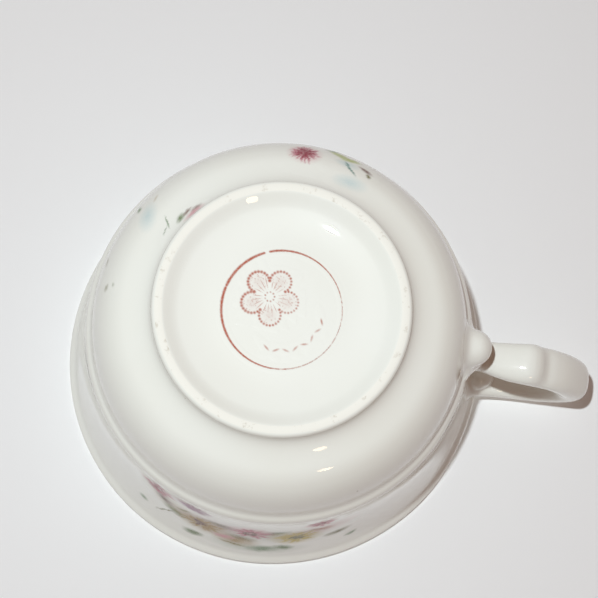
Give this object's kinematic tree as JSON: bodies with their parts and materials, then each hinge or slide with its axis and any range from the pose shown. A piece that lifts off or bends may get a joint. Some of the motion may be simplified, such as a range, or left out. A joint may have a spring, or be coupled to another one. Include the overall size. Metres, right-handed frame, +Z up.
{
  "type": "porcelain tea cup",
  "caption": "Porcelain tea cup on a foot ring, with a low rounded belly, a flared lip and a loop handle with a ball knob.",
  "frame": {"origin": "bottom centre of the bounding box: on the plane that the foot ring stands on, half way between the far side of the rim and the outside of the handle. The cup's own axis is at x = -11.3 mm, y = 0", "axes": "+Z up from the foot to the open rim, +X towards the handle, +Y completes the right-handed frame"},
  "size_m": [0.1146, 0.092, 0.054],
  "materials": {
    "glazed_porcelain": "clear gloss glaze over white porcelain, with flower sprays in overglaze enamel and a bare foot edge",
    "handle_porcelain": "clear gloss glaze over white porcelain",
    "luting_slip": "fired slip under the glaze"
  },
  "bodies": {
    "root": {"body": "glazed_porcelain", "handle": "handle_porcelain", "lower_luting_slip": "luting_slip", "upper_luting_slip": "luting_slip"}
  },
  "joints": []
}
